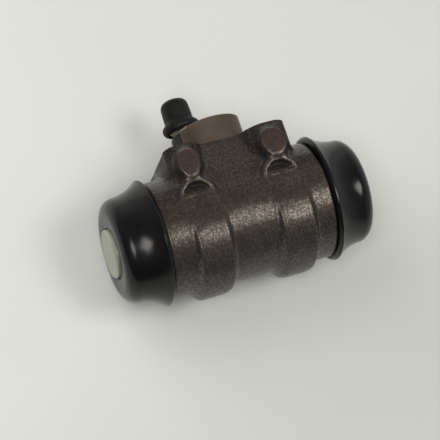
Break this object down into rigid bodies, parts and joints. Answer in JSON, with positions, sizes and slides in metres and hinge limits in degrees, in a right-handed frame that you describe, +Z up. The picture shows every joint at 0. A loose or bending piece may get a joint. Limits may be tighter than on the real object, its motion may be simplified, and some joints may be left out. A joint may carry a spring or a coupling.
{
  "type": "drum brake wheel cylinder",
  "caption": "Cast iron drum brake wheel cylinder with opposed sliding pistons, rubber dust boots, a round mounting pilot, tapped corner lugs, an inlet port and a capped bleed screw.",
  "frame": {"origin": "where the axis of the round pilot meets the mounting face", "axes": "X runs along the bore, Y points out of the mounting face along the pilot, and Z is up as the part lies in the picture, which is also up when it is fitted at the top of a brake"},
  "size_m": [0.0806, 0.0618, 0.0386],
  "materials": {
    "cast_iron": "sand cast, machined on the pilot and faces",
    "piston_aluminium": "turned and anodised",
    "seal_rubber": "moulded",
    "pressed_steel": "zinc plated",
    "spring_steel": "bright drawn wire",
    "boot_rubber": "moulded, slightly glossy",
    "plated_steel": "clear zinc plated",
    "cap_rubber": "moulded, matte"
  },
  "bodies": {
    "housing": {"housing": "cast_iron", "left_boot": "boot_rubber", "right_boot": "boot_rubber", "return_spring": "spring_steel"},
    "left_piston": {"left_piston": "piston_aluminium", "left_cup": "seal_rubber", "left_expander": "pressed_steel"},
    "right_piston": {"right_piston": "piston_aluminium", "right_cup": "seal_rubber", "right_expander": "pressed_steel"},
    "bleed_screw": {"bleed_screw": "plated_steel"},
    "bleed_cap": {"bleed_cap": "cap_rubber"}
  },
  "joints": [
    {"name": "left_piston_slide", "type": "slide", "parent": "housing", "child": "left_piston", "axis": [-1, 0, 0], "range_m": [0, 0.006], "deforming": ["left_boot", "return_spring"]},
    {"name": "right_piston_slide", "type": "slide", "parent": "housing", "child": "right_piston", "axis": [1, 0, 0], "range_m": [0, 0.006], "deforming": ["right_boot", "return_spring"]},
    {"name": "bleed_screw_turn", "type": "hinge", "parent": "housing", "child": "bleed_screw", "pos_m": [-0.0068, 0, 0], "axis": [0, 1, 0], "range_deg": [0, 180]},
    {"name": "bleed_cap_pull", "type": "slide", "parent": "bleed_screw", "child": "bleed_cap", "axis": [0, 1, 0], "range_m": [0, 0.02]}
  ]
}
